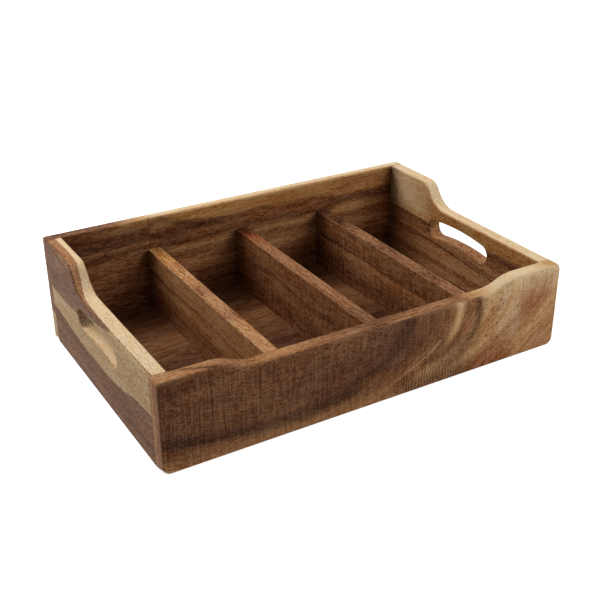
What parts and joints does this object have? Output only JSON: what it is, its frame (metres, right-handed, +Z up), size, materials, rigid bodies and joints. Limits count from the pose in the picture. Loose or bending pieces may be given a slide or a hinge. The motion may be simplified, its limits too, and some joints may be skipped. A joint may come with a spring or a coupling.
{
  "type": "compartment tray",
  "caption": "Open wooden cutlery tray with equal compartments, a high back, ogee-stepped ends with arched hand slots and a front board that dips in the middle.",
  "frame": {"origin": "on the ground, under the middle of the outer footprint", "axes": "+X along the width to the right, +Y from the low front to the high back, +Z up"},
  "size_m": [0.46, 0.2986, 0.121],
  "materials": {
    "acacia_front": "oiled acacia heartwood with saw marks, satin",
    "acacia_back": "oiled acacia heartwood, satin",
    "acacia_end": "oiled acacia with a pale sapwood band, satin",
    "acacia_divider": "oiled acacia heartwood with saw marks, satin",
    "acacia_floor": "oiled acacia, satin",
    "dowel_beech": "bare beech dowel"
  },
  "bodies": {
    "root": {"front_board": "acacia_front", "back_board_left": "acacia_back", "back_board_right": "acacia_back", "left_end": "acacia_end", "right_end": "acacia_end", "divider_left": "acacia_divider", "divider_middle": "acacia_divider", "divider_right": "acacia_divider", "base_board_front": "acacia_floor", "base_board_mid_front": "acacia_floor", "base_board_mid_back": "acacia_floor", "base_board_back": "acacia_floor", "dowels_left": "dowel_beech", "dowels_right": "dowel_beech"}
  },
  "joints": []
}
